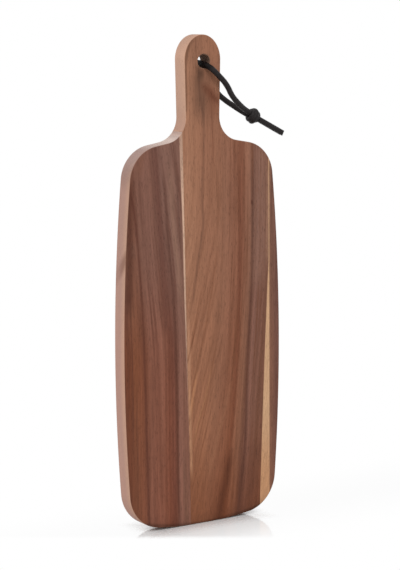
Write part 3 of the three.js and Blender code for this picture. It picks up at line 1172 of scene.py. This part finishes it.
@dataclass
class Lace:
    """Leather lace through the hanging hole: a loop, a knot that closes it and two cut tails."""

    hole_centre: Vector
    diameter: float = 5.5 * MM
    clearance: float = 0.3 * MM
    hole_diameter: float = 13.6 * MM
    board_thickness: float = 18 * MM
    slope: float = math.radians(27)
    loop_roll: float = math.radians(-16)
    tail_roll: float = math.radians(11)
    knot_place: tuple[float, float] = (62.3 * MM, -54.4 * MM)
    knot_length: float = 11.4 * MM
    knot_turn_radius: float = 5.2 * MM
    knot_pitch: float = 3.4 * MM
    knot_start: float = math.radians(-360)
    knot_end: float = math.radians(540)
    knot_steps: int = 150
    knot_tapers: tuple[float, float] = (0.42, 0.6)
    knot_middle: float = 0.45
    knot_voxel: float = 0.32 * MM
    knot_easing: tuple[float, int] = (0.5, 3)
    crease_depth: float = 0.1 * MM
    crease_lengths: tuple[float, float] = (2.2 * MM, 0.9 * MM)
    fine_crease: float = 0.6
    cut_slant: float = 0.6
    seat_angles: dict[Strand, float] = field(
        default_factory=lambda: {Strand.FRONT: math.radians(-66), Strand.BACK: math.radians(-27)}
    )
    tail_lengths: dict[Strand, float] = field(
        default_factory=lambda: {Strand.FRONT: 33.2 * MM, Strand.BACK: 34.0 * MM}
    )
    sides: int = 18
    ring_spacing: float = 1.1 * MM
    front_route: tuple[tuple[float, float, float], ...] = (
        (2.6, -12.0, -4.75), (4.7, -14.4, -6.6), (6.9, -15.8, -9.0), (9.6, -16.4, -11.6),
        (14.0, -16.2, -15.4), (19.5, -15.2, -20.2), (24.2, -14.0, -25.4), (28.2, -12.5, -30.8),
        (33.4, -10.3, -36.0), (40.7, -7.6, -41.6), (47.0, -5.2, -45.7),
    )
    back_route: tuple[tuple[float, float, float], ...] = (
        (4.5, 12.0, -2.9), (6.4, 14.4, -4.7), (8.7, 15.8, -7.0), (11.3, 16.4, -9.5),
        (16.0, 16.4, -14.4), (21.4, 15.9, -20.7), (27.0, 14.9, -27.7), (32.8, 13.0, -34.6),
        (39.2, 10.1, -40.3), (45.9, 7.0, -45.3),
    )

    def build(self) -> list[Object]:
        """Makes the lace's pieces.

        Returns:
            The loop, the knot and the two tails.
        """
        leather = Leather().material()
        knot = self.knot(leather)
        loop = self.strand("black_lace_loop", "lace_loop", self.loop_route(), leather, "knot")
        tails = [
            self.strand(f"black_lace_{side.name.lower()}_tail", f"lace_{side.name.lower()}_tail",
                        self.tail_route(side), leather, "bare")
            for side in Strand
        ]
        return [loop, knot, *tails]

    def beside_knot(self, distance: float, side: Strand) -> Vector:
        """A point on the straight run through the knot.

        Args:
            distance: How far past the knot's centre it lies.
            side: The strand that it lies on.

        Returns:
            The point, in the row frame.
        """
        x, z = self.knot_place
        reach = side.value * (self.diameter + self.clearance) / 2
        roll = self.loop_roll if distance < 0 else self.tail_roll
        aside = Matrix.Rotation(roll, 3, self.run()) @ Vector((0, reach, 0))
        return self.hole_centre + Vector((x, 0, z)) + aside + self.run() * distance

    def run(self) -> Vector:
        """The direction of the lace through the knot."""
        return Vector((math.cos(self.slope), 0, -math.sin(self.slope)))

    def seat(self, side: Strand) -> Vector:
        """The point where the lace lies on the wall of the hole, at one of its mouths.

        Args:
            side: The strand that leaves by that mouth.

        Returns:
            The point, in the row frame.
        """
        reach = (self.hole_diameter - self.diameter) / 2 - self.clearance
        angle = self.seat_angles[side]
        return self.hole_centre + Vector(
            (reach * math.cos(angle), side.value * self.board_thickness / 2, reach * math.sin(angle))
        )

    def loop_route(self) -> list[Vector]:
        """Lays the loop from the front of the knot through the hole and back behind the board.

        Returns:
            The loop's ring centres.
        """
        face = -self.knot_length / 2 - self.clearance
        front = [self.hole_centre + Vector(point) * MM for point in self.front_route]
        back = [self.hole_centre + Vector(point) * MM for point in self.back_route]
        return self.smooth_route([
            self.beside_knot(face, Strand.FRONT),
            self.beside_knot(face - self.diameter, Strand.FRONT),
            *reversed(front),
            self.seat(Strand.FRONT),
            self.seat(Strand.BACK),
            *back,
            self.beside_knot(face - self.diameter, Strand.BACK),
            self.beside_knot(face, Strand.BACK),
        ])

    def tail_route(self, side: Strand) -> list[Vector]:
        """Lays a tail straight out of the knot, and returns its ring centres."""
        start = self.knot_length / 2 + self.clearance
        return self.straight_route(start, start + self.tail_lengths[side], side)

    def straight_route(self, start: float, end: float, side: Strand) -> list[Vector]:
        """Lays one strand straight between two distances past the knot's centre."""
        return self.smooth_route([self.beside_knot(start, side), self.beside_knot(end, side)])

    def smooth_route(self, points: Sequence[Vector]) -> list[Vector]:
        """Draws one smooth curve through points.

        Args:
            points: The points that the curve passes through.

        Returns:
            Points about a ring's spacing apart on the curve.
        """
        line = [2 * points[0] - points[1], *points, 2 * points[-1] - points[-2]]
        route = [points[0]]
        for before, start, end, after in zip(line, line[1:], line[2:], line[3:]):
            earlier, gap, later = (
                math.sqrt((b - a).length) for a, b in ((before, start), (start, end), (end, after))
            )
            leave = (start - before) / earlier - (end - before) / (earlier + gap)
            arrive = (after - end) / later - (after - start) / (gap + later)
            leave, arrive = (way * gap + end - start for way in (leave, arrive))
            steps = max(1, round((end - start).length / self.ring_spacing))
            for step in range(1, steps + 1):
                t = step / steps
                route.append(
                    start * (2 * t**3 - 3 * t**2 + 1) + leave * (t**3 - 2 * t**2 + t)
                    + end * (3 * t**2 - 2 * t**3) + arrive * (t**3 - t**2)
                )
        return route

    def sweep(self, bm: BMesh, route: Sequence[Vector]) -> None:
        """Extrudes a ring of leather along a route and closes its ends.

        Args:
            bm: The bmesh that gets the strand.
            route: The ring centres.
        """
        directions = [
            (after - before).normalized()
            for before, after in zip([route[0], *route], [*route[1:], route[-1]])
        ]
        turn = directions[0].to_track_quat("Z", "Y")
        place = Matrix.LocRotScale(route[0], turn, None)
        ring = bmesh.ops.create_circle(
            bm, cap_ends=True, segments=self.sides, radius=self.diameter / 2, matrix=place
        )
        edges = list(dict.fromkeys(edge for vert in ring["verts"] for edge in vert.link_edges))
        for centre, earlier, direction in zip(route[1:], directions, directions[1:]):
            turn = earlier.rotation_difference(direction) @ turn
            following = Matrix.LocRotScale(centre, turn, None)
            grown = bmesh.ops.extrude_edge_only(bm, edges=edges)["geom"]
            verts = [item for item in grown if isinstance(item, BMVert)]
            edges = [item for item in grown if isinstance(item, BMEdge)]
            bmesh.ops.transform(bm, matrix=following @ place.inverted(), verts=verts)
            place = following
        bmesh.ops.contextual_create(bm, geom=edges)
        bmesh.ops.recalc_face_normals(bm, faces=bm.faces[:])

    def crease(self, bm: BMesh) -> None:
        """Gives a swept strand the slight unevenness of cut leather.

        Args:
            bm: The strand.
        """
        coarse, fine = self.crease_lengths
        bm.normal_update()
        for vert in bm.verts:
            dent = noise.noise(vert.co / coarse) + self.fine_crease * noise.noise(vert.co / fine)
            vert.co += vert.normal * dent * self.crease_depth

    def cut(self, bm: BMesh, end: Vector) -> None:
        """Slants the cut end of a swept strand, so that its front is the shorter.

        Args:
            bm: The strand.
            end: The centre of its last ring.
        """
        for vert in bm.verts:
            nearness = max(0.0, 1 - (end - vert.co).dot(self.run()) / (2 * self.diameter))
            vert.co += self.run() * (vert.co.y - end.y) * self.cut_slant * nearness

    def strand(
        self,
        name: str,
        node: str,
        route: list[Vector],
        leather: Material,
        far_end: str,
    ) -> Object:
        """Args:
            name: The piece's name.
            node: The CAD node that it stands for.
            route: Its ring centres, from where it leaves the knot.
            leather: Its finish.
            far_end: What its other end is.

        Returns:
            The strand, riding on the lace.
        """
        bm = bmesh.new()
        self.sweep(bm, route)
        if far_end == "bare":
            self.cut(bm, route[-1])
        self.crease(bm)
        for side in bm.faces:
            side.smooth = len(side.verts) == 4
        piece = new_piece(name, bm, leather)
        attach(piece, "lace")
        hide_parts(node)
        length = sum((after - before).length for before, after in zip(route, route[1:]))
        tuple(route[0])
        log.info("laid %s, %.1f mm long", name, length / MM)
        return piece

    def knot(self, leather: Material) -> Object:
        """Ties the knot: turns of lace drawn tight round both strands.

        Args:
            leather: Its finish.

        Returns:
            The knot, riding on the lace.
        """
        x, z = self.knot_place
        centre = self.hole_centre + Vector((x, 0, z))
        run = self.run()
        upwards = Vector((-run.z, 0, run.x))
        half = self.knot_length / 2
        bm = bmesh.new()
        for side in Strand:
            self.sweep(bm, self.straight_route(-half, half, side))

        turn = self.knot_end - self.knot_start
        turns = []
        for step in range(self.knot_steps + 1):
            share = step / self.knot_steps
            angle = self.knot_start + turn * share
            taper = self.knot_tapers[share >= 0.5] * (2 * share - 1) ** 2
            radius = self.knot_turn_radius * (1 - taper)
            shift = (share - self.knot_middle) * turn / math.tau * self.knot_pitch
            outwards = upwards * math.cos(angle) + FRONT * math.sin(angle)
            turns.append(centre + run * shift + outwards * radius)
        self.sweep(bm, turns)
        piece = new_piece("black_lace_knot", bm, leather)
        drawn = piece.modifiers.new("drawn_tight", "REMESH")
        drawn.mode, drawn.voxel_size, drawn.use_smooth_shade = "VOXEL", self.knot_voxel, True
        eased = piece.modifiers.new("eased", "SMOOTH")
        eased.factor, eased.iterations = self.knot_easing
        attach(piece, "lace")
        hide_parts("lace_knot")
        log.info("tied %s", piece.name)
        return piece


@dataclass(frozen=True)
class PhotoCamera:
    """The camera, at the photograph's viewing angle on a frame of 400 by 570 pixels."""

    aim: tuple[float, float, float] = (0.0, 0.0, 240 * MM)
    yaw: float = math.radians(32.4)
    pitch: float = math.radians(8.38)
    roll: float = math.radians(-0.267)
    distance: float = 1740 * MM
    focal_pixels: float = 1780.0
    frame_height: int = 570
    sensor_width: float = 36.0
    aim_offset: tuple[float, float] = (-1.373, -2.81)

    def place(self) -> Object:
        """Sets the camera up and makes it the scene's own.

        Returns:
            The camera.
        """
        data = bpy.data.cameras.new("photo_camera")
        data.sensor_width = self.sensor_width
        data.lens = self.focal_pixels * self.sensor_width / self.frame_height
        data.shift_x = -self.aim_offset[0] / self.frame_height
        data.shift_y = self.aim_offset[1] / self.frame_height
        view = Vector((
            math.sin(self.yaw) * math.cos(self.pitch),
            math.cos(self.yaw) * math.cos(self.pitch),
            -math.sin(self.pitch),
        ))
        camera = bpy.data.objects.new("photo_camera", data)
        turn = view.to_track_quat("-Z", "Y") @ Quaternion((0, 0, 1), self.roll)
        camera.matrix_world = Matrix.LocRotScale(Vector(self.aim) - view * self.distance, turn, None)
        bpy.context.scene.collection.objects.link(camera)
        bpy.context.scene.camera = camera
        return camera


@dataclass(frozen=True)
class Softbox:
    """One square studio lamp."""

    name: str
    place: tuple[float, float, float]
    size: float
    power: float
    aim: tuple[float, float, float] = (0.0, 0.0, 240 * MM)

    def hang(self) -> Object:
        """Hangs the lamp and turns it to its aim.

        Returns:
            The lamp.
        """
        data = bpy.data.lights.new(self.name, "AREA")
        data.size, data.energy = self.size, self.power
        lamp = bpy.data.objects.new(self.name, data)
        turn = (Vector(self.aim) - Vector(self.place)).to_track_quat("-Z", "Y")
        lamp.matrix_world = Matrix.LocRotScale(Vector(self.place), turn, None)
        bpy.context.scene.collection.objects.link(lamp)
        return lamp


@dataclass(frozen=True)
class Studio:
    """White studio: a pale floor that fades into the background, soft lamps and an even sky."""

    sky_strength: float = 0.72
    floor_colour: Colour = screen_colour(248, 248, 248)
    floor_half: float = 0.9
    side_fade: Ramp = (50.0, 80.0)
    depth_fade: Ramp = (8.0, 36.0)
    gloss_depth: Ramp = (0.0, 115.0, 0.4, 0.0)
    gloss_way: tuple[float, float] = (-0.549, -0.836)
    gloss_end: Ramp = (50.0, 66.0, 1.0, 0.0)
    gloss_roughness: float = 0.1
    softboxes: tuple[Softbox, ...] = (
        Softbox("overhead_softbox", (-0.45, -0.8, 1.35), 0.8, 9.0),
        Softbox("left_softbox", (-1.2, 0.5, 0.95), 1.3, 8.0),
    )

    def build(self) -> None:
        """Puts up the floor, the sky and the lamps."""
        bpy.context.scene.view_settings.view_transform = "Standard"
        self.floor()
        self.sky()
        for softbox in self.softboxes:
            softbox.hang()
            log.info("hung %s", softbox.name)

    def floor(self) -> Object:
        """Lays the floor.

        Returns:
            The floor.
        """
        bm = bmesh.new()
        bmesh.ops.create_grid(bm, x_segments=1, y_segments=1, size=self.floor_half)
        sheet = NodeSheet(bpy.data.materials.new("pale_floor"))
        place = sheet.millimetres()
        aside, reach = abs(place.x), abs(place.y)
        faded = aside.ease(*self.side_fade).at_least(reach.ease(*self.depth_fade))
        forward = place.x * self.gloss_way[0] + place.y * self.gloss_way[1]
        gloss = reach.ease(*self.gloss_depth) * forward.ease(*self.gloss_end)
        shader = sheet.make("BsdfDiffuse", {"Color": self.floor_colour})
        clear = sheet.make("BsdfTransparent", {})
        polish = sheet.make(
            "BsdfGlossy", {"Color": self.floor_colour, "Roughness": self.gloss_roughness}
        )
        for share, other in ((faded, clear), (gloss, polish)):
            shader = sheet.make("MixShader", {0: share, 1: shader, 2: other})
        sheet.end(shader, "ShaderNodeOutputMaterial")
        floor = new_piece("studio_floor", bm, sheet.owner)
        return floor

    def sky(self) -> None:
        """Gives an even soft light, with a white background for what sees it directly."""
        sheet = NodeSheet(bpy.data.worlds.new("white_studio"))
        seen = sheet.make("LightPath", {}, "Is Camera Ray")
        rays = seen.socket.node.outputs
        for ray in ("Is Glossy Ray", "Is Transmission Ray"):
            seen = seen.at_least(Signal(sheet, rays[ray]))
        strength = sheet.make("MapRange", {0: seen, 3: self.sky_strength, 4: 1.0})
        background = sheet.make("Background", {"Color": (1, 1, 1, 1), "Strength": strength})
        sheet.end(background, "ShaderNodeOutputWorld")
        bpy.context.scene.world = sheet.owner


def main() -> None:
    """Builds the camera, the lace, the board and the studio, and logs the body that each piece rides on.
    """
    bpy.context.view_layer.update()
    board = Board()
    PhotoCamera().place()
    lace = Lace(hole_centre=board.hole_centre)
    for piece in [*lace.build(), *board.build()]:
        log.info("%s rides on %s", piece.name, body_of(piece))
    Studio().build()


if __name__ == "__main__":
    main()
